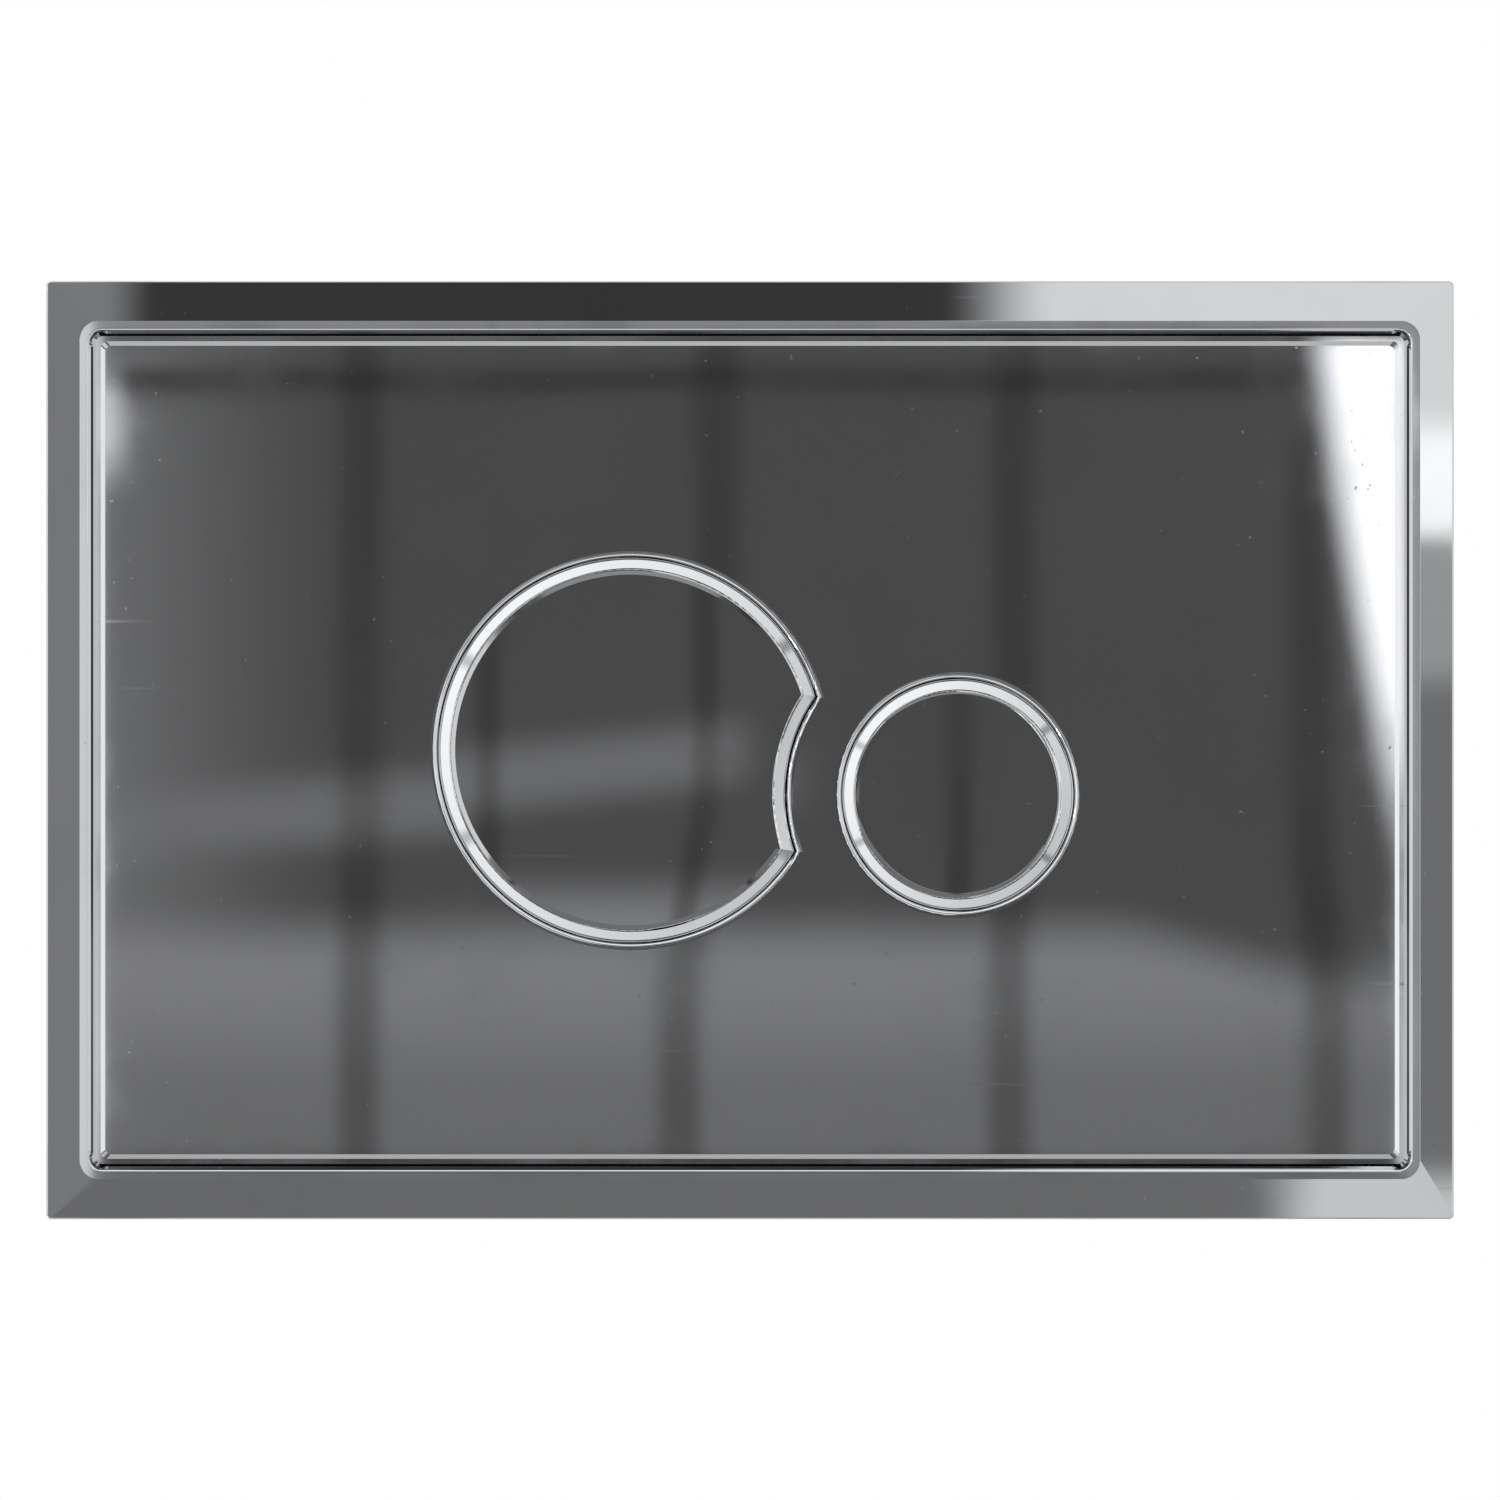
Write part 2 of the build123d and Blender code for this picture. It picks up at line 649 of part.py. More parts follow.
# Push trains: return spring, push head, threaded rod and its lock nut behind each button
for name, push in (("full", full_push), ("half", half_push)):
    with BuildPart() as return_spring:
        with BuildLine() as coil:
            Helix(
                coil_height / COIL_TURNS,
                coil_height,
                coil_r,
                center=(push[0], -carrier_front - COIL_WIRE_R, push[1]),
                direction=(0, -1, 0),
            )
        with BuildSketch(Plane(origin=coil.line @ 0, z_dir=coil.line % 0)):
            RegularPolygon(COIL_WIRE_R, 6)
        sweep(path=coil.line, is_frenet=True)
    save(return_spring.part, f"{name}_return_spring")

    with BuildPart() as push_head:
        with BuildSketch(level(head_back)):
            with Locations(push):
                Circle(HEAD_R)
        extrude(amount=head_front - head_back)
        chamfer(push_head.edges().group_by(Axis.Y)[0], HEAD_PLAY)
        with BuildSketch(level(collar_back)):
            with Locations(push):
                Circle(HEAD_COLLAR_R)
        extrude(amount=HEAD_COLLAR_T)
        with BuildSketch(level(head_back)):
            with Locations(push):
                Circle(PUSH_ROD_R + THREAD_PLAY)
        extrude(amount=HEAD_BORE_DEPTH, mode=Mode.SUBTRACT)
    save(push_head.part, f"{name}_push_head")

    with BuildPart() as push_rod:
        with BuildSketch(level(push_rod_front - PUSH_ROD_LENGTH)):
            with Locations(push):
                Circle(PUSH_ROD_R)
        extrude(amount=PUSH_ROD_LENGTH)
        chamfer(push_rod.edges().filter_by(GeomType.CIRCLE), PUSH_ROD_R / 4)
    save(push_rod.part, f"{name}_push_rod")

    with BuildPart() as rod_nut:
        with BuildSketch(level(head_back - ROD_NUT_T)):
            with Locations(push):
                RegularPolygon(ROD_NUT_AF / 2, 6, major_radius=False)
                Circle(PUSH_ROD_R + THREAD_PLAY, mode=Mode.SUBTRACT)
        extrude(amount=ROD_NUT_T)
    save(rod_nut.part, f"{name}_rod_nut")
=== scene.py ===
import json
import math

import bpy
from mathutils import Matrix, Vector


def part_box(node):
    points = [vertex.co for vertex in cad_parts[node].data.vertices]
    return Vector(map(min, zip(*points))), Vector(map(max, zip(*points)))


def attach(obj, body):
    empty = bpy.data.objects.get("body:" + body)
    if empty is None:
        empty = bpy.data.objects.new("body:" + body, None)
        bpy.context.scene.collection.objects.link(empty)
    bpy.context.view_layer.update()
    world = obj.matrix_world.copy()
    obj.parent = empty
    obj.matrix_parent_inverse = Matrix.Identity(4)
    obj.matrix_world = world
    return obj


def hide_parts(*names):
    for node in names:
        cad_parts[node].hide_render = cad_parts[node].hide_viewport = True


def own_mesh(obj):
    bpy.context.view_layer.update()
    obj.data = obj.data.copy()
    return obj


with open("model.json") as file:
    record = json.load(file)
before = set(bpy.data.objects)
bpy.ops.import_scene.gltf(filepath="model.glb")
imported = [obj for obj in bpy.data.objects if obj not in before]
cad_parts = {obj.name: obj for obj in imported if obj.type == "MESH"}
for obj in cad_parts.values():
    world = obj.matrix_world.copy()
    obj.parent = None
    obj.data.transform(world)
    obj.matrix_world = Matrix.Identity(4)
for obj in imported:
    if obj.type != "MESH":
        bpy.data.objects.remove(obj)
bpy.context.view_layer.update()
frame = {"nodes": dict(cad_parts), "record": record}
print("frame loaded,", len(frame["nodes"]), "nodes")

mm = 0.001
weld = 1e-6  # points this near are one, in metres
fineWeld = 1e-7
slotOf = {part["node"]: part["material_slot"] for part in frame["record"]["subparts"]}
bodyOf = {node: body for body, nodes in frame["record"]["behaviour"]["bodies"].items() for node in nodes}


# shader maths: one socket, with operators that add Math nodes

class Wire:
    def __init__(self, tree, socket=None):
        self.tree = tree
        self.socket = socket

    def node(self, kind, settings=None, sockets=None, out=0):
        new = self.tree.nodes.new(kind)
        for key, value in (settings or {}).items():
            setattr(new, key, value)
        for key, value in (sockets or {}).items():
            if isinstance(value, Wire):
                self.tree.links.new(value.socket, new.inputs[key])
            else:
                new.inputs[key].default_value = value
        return Wire(self.tree, new.outputs[out] if len(new.outputs) else None)

    def math(self, operation, first, second=0.0):
        return self.node("ShaderNodeMath", {"operation": operation}, {0: first, 1: second})

    def __add__(self, other):
        return self.math("ADD", self, other)

    def __radd__(self, other):
        return self.math("ADD", other, self)

    def __sub__(self, other):
        return self.math("SUBTRACT", self, other)

    def __rsub__(self, other):
        return self.math("SUBTRACT", other, self)

    def __mul__(self, other):
        return self.math("MULTIPLY", self, other)

    def __rmul__(self, other):
        return self.math("MULTIPLY", other, self)

    def __truediv__(self, other):
        return self.math("DIVIDE", self, other)

    def __rtruediv__(self, other):
        return self.math("DIVIDE", other, self)


def smooth(value, start, end):  # 0 at start, 1 at end
    sockets = {"Value": value, "From Min": start, "From Max": end}
    return value.node("ShaderNodeMapRange", {"interpolation_type": "SMOOTHSTEP"}, sockets)


def band(value, low, high, soft):  # 1 between low and high, with soft edges
    return smooth(value, low - soft, low + soft) * (1 - smooth(value, high - soft, high + soft))


def lay(level, tone, mask):  # lay one tone over another
    return level + (tone - level) * mask


def apart(wire, vector):  # a vector's three numbers
    split = wire.node("ShaderNodeSeparateXYZ", {}, {"Vector": vector}).socket.node
    return [Wire(wire.tree, socket) for socket in split.outputs]


def texture(wire, vector, kind):  # noise, or only the part of it that shows
    sockets = {
        "Vector": vector, "Scale": kind["scale"], "Detail": kind["detail"], "Roughness": kind.get("rough", 0.5),
    }
    cloud = wire.node("ShaderNodeTexNoise", {}, sockets)
    return smooth(cloud, *kind["shows"]) if "shows" in kind else cloud


def stretched(wire, vector, scale, turn):  # the same place on stretched axes
    sockets = {"Vector": vector, "Scale": scale, "Rotation": (0.0, turn, 0.0)}
    return wire.node("ShaderNodeMapping", {}, sockets)


def tint(wire, factor, first, second):  # mix two colours
    return wire.node("ShaderNodeMix", {"data_type": "RGBA"}, {0: factor, 6: first, 7: second}, 2)


def newMaterial(name):
    material = bpy.data.materials.new(name)
    material.use_nodes = True
    material.node_tree.nodes.clear()
    wire = Wire(material.node_tree)
    return material, wire, wire.node("ShaderNodeTexCoord", out="Object")


def paint(wire, sockets):
    shader = wire.node("ShaderNodeBsdfPrincipled", {}, sockets)
    wire.node("ShaderNodeOutputMaterial", {}, {"Surface": shader})


def relief(wire, height):  # height in metres
    return wire.node("ShaderNodeBump", {}, {"Strength": 1.0, "Distance": 1.0, "Height": height})


# finishes: "rise" is the height of a texture in metres, "roughens" what it adds to the roughness

chromeLook = {
    "colour": (0.78, 0.79, 0.81, 1.0),
    "dull": (0.74, 0.75, 0.765, 1.0),
    "dulls": 0.6,
    "rough": 0.02,
    "ripple": {"scale": 24.0, "detail": 1.0},
    "orangePeel": {"scale": 420.0, "detail": 2.0},
    "smear": {"scale": 38.0, "detail": 4.0, "rough": 0.6, "shows": (0.45, 0.75)},
    "speck": {"scale": 900.0, "detail": 1.0, "shows": (0.76, 0.82)},
    "scratch": {"scale": 1.0, "detail": 0.0, "shows": (0.76, 0.80)},
    "scratchStretch": (14.0, 14.0, 900.0),
    "scratched": {"detail": 0.0, "shows": (0.58, 0.70)},
    "scratches": ((0.5, 55.5), (2.2, 57.2)),  # turn of the lines, scale of the patches that have them
    "rise": {"ripple": 10e-6, "orangePeel": 0.10e-6, "scratch": 0.08e-6},
    "roughens": {"smear": 0.02, "speck": 0.08, "scratch": 0.02},
}


# a face's own bulge: its centre, the radii of its dome across and up, and the lean of the whole face, in metres

faceForm = {
    "cover_plate": None,
    "full_flush_button": {"centre": (-0.0209, 0.0), "dome": (3.4, 40.0), "lean": (0.0028, 0.0023)},
    "half_flush_button": {"centre": (0.0364, -0.0078), "dome": (3.4, 40.0), "lean": (-0.0043, 0.0)},
}


def mirrorChrome(name, form):
    look = chromeLook
    rise = look["rise"]
    roughens = look["roughens"]
    material, wire, place = newMaterial(name)
    smear = texture(wire, place, look["smear"])
    speck = texture(wire, place, look["speck"])
    ripple = texture(wire, place, look["ripple"])
    peel = texture(wire, place, look["orangePeel"])
    scratches = 0.0
    for turn, scale in look["scratches"]:
        lines = texture(wire, stretched(wire, place, look["scratchStretch"], turn), look["scratch"])
        patch = texture(wire, place, {"scale": scale, **look["scratched"]})
        scratches = scratches + lines * patch
    height = ripple * rise["ripple"] + peel * rise["orangePeel"] - scratches * rise["scratch"]
    if form:
        x, y, z = apart(wire, place)
        runs = (x - form["centre"][0], z - form["centre"][1])
        for run, dome, lean in zip(runs, form["dome"], form["lean"]):
            height = height + run * lean - run * run / (2 * dome)
    rough = look["rough"] + smear * roughens["smear"] + speck * roughens["speck"]
    rough = rough + scratches * roughens["scratch"]
    paint(wire, {
        "Base Color": tint(wire, smear * look["dulls"], look["colour"], look["dull"]),
        "Metallic": 1.0,
        "Roughness": rough,
        "Normal": relief(wire, height),
    })
    return material


plasticLook = {
    "whitePlastic": {"colour": (0.78, 0.79, 0.78, 1.0), "shade": (0.70, 0.71, 0.70, 1.0), "rough": 0.40},
    "greyPlastic": {"colour": (0.30, 0.33, 0.37, 1.0), "shade": (0.24, 0.27, 0.31, 1.0), "rough": 0.36},
    "flow": {"scale": 1.0, "detail": 3.0, "shows": (0.3, 0.75)},
    "flowStretch": (22.0, 22.0, 70.0),
    "flowTurn": 0.6,
    "grain": {"scale": 2600.0, "detail": 2.0},
    "scuff": {"scale": 130.0, "detail": 4.0, "rough": 0.65, "shows": (0.55, 0.75)},
    "rise": {"grain": 9e-6, "scuff": 4e-6},
    "roughens": {"grain": 0.1, "scuff": 0.12},
}


def mouldedPlastic(name):
    look = plasticLook
    kind = look[name]
    rise = look["rise"]
    roughens = look["roughens"]
    material, wire, place = newMaterial(name)
    flow = texture(wire, stretched(wire, place, look["flowStretch"], look["flowTurn"]), look["flow"])
    grain = texture(wire, place, look["grain"])
    scuff = texture(wire, place, look["scuff"])
    paint(wire, {
        "Base Color": tint(wire, flow, kind["colour"], kind["shade"]),
        "Roughness": kind["rough"] + grain * roughens["grain"] + scuff * roughens["scuff"],
        "Normal": relief(wire, grain * rise["grain"] + scuff * rise["scuff"]),
    })
    return material


steelLook = {
    "colour": (0.66, 0.67, 0.68, 1.0),
    "stain": (0.62, 0.58, 0.49, 1.0),
    "stains": 0.7,
    "rough": 0.22,
    "bloom": {"scale": 210.0, "detail": 4.0, "rough": 0.6, "shows": (0.42, 0.75)},
    "grain": {"scale": 1800.0, "detail": 2.0},
    "rise": 2.5e-6,
    "roughens": {"bloom": 0.14, "grain": 0.08},
}


def zincSteel():
    look = steelLook
    roughens = look["roughens"]
    material, wire, place = newMaterial("zincSteel")
    bloom = texture(wire, place, look["bloom"])
    grain = texture(wire, place, look["grain"])
    paint(wire, {
        "Base Color": tint(wire, bloom * look["stains"], look["colour"], look["stain"]),
        "Metallic": 1.0,
        "Roughness": look["rough"] + bloom * roughens["bloom"] + grain * roughens["grain"],
        "Normal": relief(wire, grain * look["rise"]),
    })
    return material


rubberLook = {
    "colour": (0.030, 0.030, 0.031, 1.0),
    "bloomColour": (0.075, 0.074, 0.072, 1.0),
    "bloomShows": (0.45, 0.85),
    "rough": 0.7,
    "bloom": {"scale": 420.0, "detail": 4.0, "rough": 0.6},
    "rise": 20e-6,
    "roughens": 0.15,
}


def softRubber():
    look = rubberLook
    material, wire, place = newMaterial("softRubber")
    bloom = texture(wire, place, look["bloom"])
    paint(wire, {
        "Base Color": tint(wire, smooth(bloom, *look["bloomShows"]), look["colour"], look["bloomColour"]),
        "Roughness": look["rough"] + bloom * look["roughens"],
        "Normal": relief(wire, bloom * look["rise"]),
    })
    return material


finishes = {
    "white_plastic": mouldedPlastic("whitePlastic"),
    "grey_plastic": mouldedPlastic("greyPlastic"),
    "steel": zincSteel(),
    "rubber": softRubber(),
}


def dress(mesh, finish):
    mesh.materials.clear()
    mesh.materials.append(finish)


for node, slot in slotOf.items():
    if node in faceForm:
        finish = mirrorChrome("mirrorChrome_" + node, faceForm[node])
    else:
        finish = finishes[slot]
    dress(frame["nodes"][node].data, finish)
print("finishes laid on the solids")


# hand tools for the pieces that the solids only rough out

def begin(name):  # the primitive just added becomes a piece, with its place in its mesh
    piece = bpy.context.active_object
    piece.name = name
    piece.data.name = name
    bpy.ops.object.transform_apply(location=True, rotation=True, scale=True)
    return piece


def clearSelection():
    bpy.ops.object.select_all(action="DESELECT")


def hold(piece):
    if bpy.context.mode != "OBJECT":
        bpy.ops.object.mode_set(mode="OBJECT")
    clearSelection()
    piece.select_set(True)
    bpy.context.view_layer.objects.active = piece


def pick(piece, test):  # open the mesh with only the points selected that pass a test
    hold(piece)
    bpy.ops.object.mode_set(mode="EDIT")
    bpy.ops.mesh.select_mode(type="VERT")
    bpy.ops.mesh.select_all(action="DESELECT")
    bpy.ops.object.mode_set(mode="OBJECT")
    for point in piece.data.vertices:
        point.select = bool(test(point.co))
    bpy.ops.object.mode_set(mode="EDIT")


def pickAll(piece):
    pick(piece, lambda co: True)


def pickNone(piece):
    pick(piece, lambda co: False)


def close():
    bpy.ops.object.mode_set(mode="OBJECT")


def applyModifier(piece, kind, settings):
    hold(piece)
    modifier = piece.modifiers.new("work", kind)
    for key, value in settings.items():
        setattr(modifier, key, value)
    bpy.ops.object.modifier_apply(modifier=modifier.name)


def carve(piece, tool, operation):
    applyModifier(piece, "BOOLEAN", {"operation": operation, "object": tool, "solver": "EXACT"})
    bpy.data.objects.remove(tool)


def tidyMesh(piece, merge=weld):
    pickAll(piece)
    bpy.ops.mesh.remove_doubles(threshold=merge)
    bpy.ops.mesh.normals_make_consistent(inside=False)
    close()


def cutOff(piece, spot, normal, side):  # clear one side of a plane and close the cut
    pickAll(piece)
    bpy.ops.mesh.bisect(plane_co=spot, plane_no=normal, threshold=fineWeld, use_fill=True, **{side: True})
    close()


def wind(piece, pitch, turns, steps):  # wind an outline along Y
    applyModifier(piece, "SCREW", {
        "axis": "Y", "screw_offset": pitch, "iterations": turns, "steps": steps, "render_steps": steps,
        "use_merge_vertices": True, "merge_threshold": weld,
    })
    tidyMesh(piece)


def move(piece, offset):
    pickAll(piece)
    bpy.ops.transform.translate(value=offset)
    close()


def middle(node):
    low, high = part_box(node)
    return (low + high) / 2


def carry(piece, node):  # from the middle of the scene to the node's own axis
    spot = middle(node)
    move(piece, (spot.x, 0.0, spot.z))


def copyPiece(piece, name, offset):
    twin = bpy.data.objects.new(name, piece.data.copy())
    bpy.context.scene.collection.objects.link(twin)
    move(twin, offset)
    return twin


def joinPieces(pieces):
    clearSelection()
    for piece in pieces:
        piece.select_set(True)
    bpy.context.view_layer.objects.active = pieces[0]
    bpy.ops.object.join()
    return pieces[0]


def shade(piece, smoothAngle):
    hold(piece)
    bpy.ops.object.shade_smooth_by_angle(angle=math.radians(smoothAngle))


def settle(piece, node, smoothAngle=35.0):  # stand in for a solid, on its body and in its finish
    shade(piece, smoothAngle)
    dress(piece.data, finishes[slotOf[node]])
    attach(piece, bodyOf[node])
    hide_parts(node)


def barrel(name, radius, start, end, chamfer=0.0, sides=64):  # a round bar along Y
    rimAngle = math.radians(60)
    clearSelection()
    bpy.ops.mesh.primitive_cylinder_add(
        vertices=sides, radius=radius, depth=end - start,
        location=(0.0, (start + end) / 2, 0.0), rotation=(math.radians(90), 0.0, 0.0))
    piece = begin(name)
    if chamfer:
        pickNone(piece)
        bpy.ops.mesh.select_mode(type="EDGE")
        bpy.ops.mesh.edges_select_sharp(sharpness=rimAngle)
        bpy.ops.mesh.bevel(offset=chamfer, segments=1, affect="EDGES")
        close()
    return piece


# threads: depth of the groove and width of the crest in pitches, turns to spare at the ends

threadLook = {"depth": 0.58, "crest": 0.18, "spareTurns": 3, "blankOver": 0.05 * mm}


def threadedBar(name, radius, pitch, start, end, chamfer, steps=32):  # one tooth, wound along Y
    depth = threadLook["depth"] * pitch
    turns = math.ceil((end - start) / pitch) + threadLook["spareTurns"]
    flank = radius - depth / 2
    clearSelection()
    bpy.ops.mesh.primitive_plane_add(size=pitch, location=(flank, start - pitch, 0.0))
    piece = begin(name)
    pickAll(piece)
    bpy.ops.transform.resize(value=(depth / pitch, 1.0, 1.0), center_override=(flank, start, 0.0))
    bpy.ops.mesh.delete(type="ONLY_FACE")
    pick(piece, lambda co: co.x < flank)
    bpy.ops.mesh.delete(type="EDGE")
    pick(piece, lambda co: co.x > flank)
    crest = threadLook["crest"]
    bpy.ops.transform.resize(value=(1.0, crest, 1.0), center_override=(radius, start - pitch, 0.0))
    close()
    wind(piece, pitch, turns, steps)
    for cut, side in ((start, "clear_inner"), (end, "clear_outer")):
        cutOff(piece, (0.0, cut, 0.0), (0.0, 1.0, 0.0), side)
    tidyMesh(piece)
    blank = barrel("blank", radius + threadLook["blankOver"], start, end, chamfer)
    carve(piece, blank, "INTERSECT")
    return piece


# fixing studs: two threads and a plain shank that reaches into both

studLook = {
    "pitch": 1.0 * mm, "chamfer": 0.75 * mm, "frontThread": 20.0 * mm, "rearThread": 30.0 * mm,
    "shank": 2.65 * mm, "reach": 0.5 * mm,
}


def fixingStud(node):
    look = studLook
    low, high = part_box(node)
    radius = (high.x - low.x) / 2
    shankStart = low.y + look["frontThread"]
    shankEnd = high.y - look["rearThread"]
    front = threadedBar(node + "_stud", radius, look["pitch"], low.y, shankStart, look["chamfer"])
    rear = threadedBar("rear", radius, look["pitch"], shankEnd, high.y, look["chamfer"])
    shank = barrel("shank", look["shank"], shankStart - look["reach"], shankEnd + look["reach"])
    piece = joinPieces([front, rear, shank])
    carry(piece, node)
    settle(piece, node)


for node in ("fixing_rod_left", "fixing_rod_right"):
    fixingStud(node)
print("studs threaded")


# push rods: one thread all along

pushLook = {"pitch": 0.8 * mm, "chamfer": 0.6 * mm, "steps": 24}


def pushRod(node):
    look = pushLook
    low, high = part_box(node)
    radius = (high.x - low.x) / 2
    piece = threadedBar(node + "_thread", radius, look["pitch"], low.y, high.y, look["chamfer"], look["steps"])
    carry(piece, node)
    settle(piece, node)


for node in ("full_push_rod", "half_push_rod"):
    pushRod(node)
print("push rods threaded")


# lock nuts: a hexagon turned down at its corners, with a bore

nutLook = {"bore": 2.56 * mm, "turnedTo": 1.06, "turnedOver": 0.25 * mm, "turnedChamfer": 0.55 * mm}


def lockNut(node):
    look = nutLook
    low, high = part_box(node)
    half = (high.z - low.z) / 2
    halfSide = math.radians(30)
    piece = barrel(node + "_hex", half / math.cos(halfSide), low.y, high.y, 0.0, 6)
    pickAll(piece)  # flats to the top and bottom
    bpy.ops.transform.rotate(value=halfSide, orient_axis="Y", center_override=(0.0, 0.0, 0.0))
    close()
    turned = half * look["turnedTo"] + look["turnedOver"]
    carve(piece, barrel("turned", turned, low.y, high.y, look["turnedChamfer"]), "INTERSECT")
    carve(piece, barrel("bore", look["bore"], low.y - mm, high.y + mm), "DIFFERENCE")
    carry(piece, node)
    settle(piece, node, 25.0)


for node in ("full_rod_nut", "half_rod_nut"):
    lockNut(node)
print("lock nuts cut")


# return springs: round wire wound along Y

springLook = {
    "wire": 0.45 * mm,
    "wireSides": 16,
    "turns": 4,
    "steps": 64,
    "full_return_spring": "full_button_press",
    "half_return_spring": "half_button_press",
    "travel": 5.0 * mm,
}


def returnSpring(node):
    low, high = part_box(node)
    wire = springLook["wire"]
    turns = springLook["turns"]
    coil = (high.x - low.x) / 2 - wire
    tall = high.y - low.y - 2 * wire
    clearSelection()
    bpy.ops.mesh.primitive_circle_add(
        vertices=springLook["wireSides"], radius=wire, fill_type="NOTHING", location=(coil, low.y + wire, 0.0))
    piece = begin(node + "_wire")
    wind(piece, tall / turns, turns, springLook["steps"])
    pickNone(piece)  # close both cut ends
    bpy.ops.mesh.select_non_manifold()
    bpy.ops.mesh.fill_holes(sides=2 * springLook["wireSides"])
    close()
    tidyMesh(piece)
    carry(piece, node)
    settle(piece, node, 60.0)
    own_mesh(piece)


for node in ("full_return_spring", "half_return_spring"):
    returnSpring(node)
print("springs wound")


# carrier screws: pan head with a cross recess, self-tapping thread

screwLook = {
    "head": 3.0 * mm, "headTall": 1.8 * mm, "headRound": 0.7 * mm,
    "thread": 1.45 * mm, "pitch": 0.682 * mm, "tip": 0.8 * mm, "reach": 0.3 * mm, "steps": 16,
    "crossLong": 3.2 * mm, "crossWide": 0.7 * mm, "crossDeep": 1.0 * mm, "crossTaper": 0.6,
    "middleRow": 14.0 * mm,
}


def crossBit(top):  # the driver's cross, as a tool
    look = screwLook
    longWays = (look["crossLong"], look["crossWide"])
    arms = []
    for wide, tall in (longWays, longWays[::-1]):
        clearSelection()
        bpy.ops.mesh.primitive_cube_add(
            size=1.0, location=(0.0, top, 0.0), scale=(wide, 2 * look["crossDeep"], tall))
        arm = begin("arm")
        pick(arm, lambda co: co.y < top)  # the arms narrow towards their ends
        bpy.ops.transform.resize(
            value=(look["crossTaper"], 1.0, look["crossTaper"]), center_override=(0.0, top, 0.0))
        close()
        arms.append(arm)
    carve(arms[0], arms[1], "UNION")
    return arms[0]


def carrierScrews(node):
    look = screwLook
    low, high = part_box(node)
    seat = high.y - look["headTall"]
    head = barrel("head", look["head"], seat, high.y)
    pick(head, lambda co: co.y > seat + mm)
    bpy.ops.mesh.select_mode(type="EDGE")
    bpy.ops.mesh.bevel(offset=look["headRound"], segments=4, affect="EDGES")
    close()
    carve(head, crossBit(high.y), "DIFFERENCE")
    shank = threadedBar(
        "shank", look["thread"], look["pitch"], low.y, seat + look["reach"], look["tip"], look["steps"])
    first = joinPieces([head, shank])
    places = [
        (x, z)
        for x in (low.x + look["head"], look["middleRow"], high.x - look["head"])
        for z in (low.z + look["head"], high.z - look["head"])
    ]
    copies = [copyPiece(first, node + "_cut", (x, 0.0, z)) for x, z in places]
    bpy.data.objects.remove(first)
    settle(joinPieces(copies), node)


carrierScrews("carrier_screws")
print("screws cut")


# lips: the plated roll of the panel into each opening, turned finer than the solid's facets

lipLook = {
    "roll": 0.7 * mm,
    "rollSides": 48,
    "steps": 240,
    "proud": 0.2 * mm,  # the buttons stand this much before the panel
    "sink": 0.011 * mm,  # how far the roll's top lies below the panel
    "skin": (0.095 * mm, 0.004 * mm),  # how far it covers the facets, into the opening and forwards
    "wall": 0.5 * mm,
    "crown": ((0.21, 0.008), (0.21, 0.003), (0.27, -0.008)),  # steps out and forwards, in millimetres
    "rings": {  # centre and opening in millimetres, and a cut: its direction and distance
        "fullLip": {"centre": (-20.9, 0.0), "opening": 33.95, "cut": (-7.5, 30.4)},
        "halfLip": {"centre": (36.4, -7.8), "opening": 20.5},
    },
}


def farthest(piece):  # the outline's outer end and its foot
    points = [point.co for point in piece.data.vertices]
    return max(co.x for co in points) - weld, max(co.y for co in points) - weld


def rolledLip(name, ring):
    look = lipLook
    inward, forwards = look["skin"]
    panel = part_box("half_flush_button")[0].y + look["proud"]
    turn = ring["opening"] * mm + look["roll"]
    seat = panel + look["sink"] + look["roll"]
    clearSelection()
    bpy.ops.mesh.primitive_circle_add(
        vertices=look["rollSides"], radius=look["roll"], fill_type="NOTHING", location=(turn, seat, 0.0))
    piece = begin(name)
    pick(piece, lambda co: co.x > turn - 0.1 * look["roll"] or co.y > seat + weld)
    bpy.ops.mesh.delete(type="VERT")  # a quarter is left
    pickAll(piece)
    wide = 1 + inward / look["roll"]
    bpy.ops.transform.resize(value=(wide, 1.0, 1.0), center_override=(turn, seat, 0.0))
    bpy.ops.transform.translate(value=(0.0, 0 - forwards, 0.0))
    pick(piece, lambda co: co.y > seat - forwards - weld)
    bpy.ops.mesh.extrude_region_move(TRANSFORM_OT_translate={"value": (0.0, look["wall"], 0.0)})
    close()
    end = farthest(piece)[0]
    pick(piece, lambda co: co.x > end)
    for out, forward in look["crown"]:
        bpy.ops.mesh.extrude_region_move(TRANSFORM_OT_translate={"value": (out * mm, 0 - forward * mm, 0.0)})
    close()
    end, foot = farthest(piece)
    pick(piece, lambda co: co.x > end or co.y > foot)
    bpy.ops.mesh.edge_face_add()  # closes the outline behind
    pickAll(piece)
    bpy.ops.mesh.spin(steps=look["steps"], angle=math.tau, center=(0.0, 0.0, 0.0), axis=(0.0, 1.0, 0.0))
    close()
    tidyMesh(piece, fineWeld)
    if "cut" in ring:  # the ring stops short of the bite's two corners
        aim, far = math.radians(ring["cut"][0]), ring["cut"][1] * mm
        normal = (math.cos(aim), 0.0, math.sin(aim))
        cutOff(piece, [far * part for part in normal], normal, "clear_outer")
        tidyMesh(piece, fineWeld)
    move(piece, (ring["centre"][0] * mm, 0.0, ring["centre"][1] * mm))
    shade(piece, 35.0)
    dress(piece.data, frame["nodes"]["cover_plate"].data.materials[0])
    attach(piece, bodyOf["cover_plate"])


for name, ring in lipLook["rings"].items():
    rolledLip(name, ring)
print("lips rolled")


# moulded pieces: the solid with its edges eased, as a mould leaves them

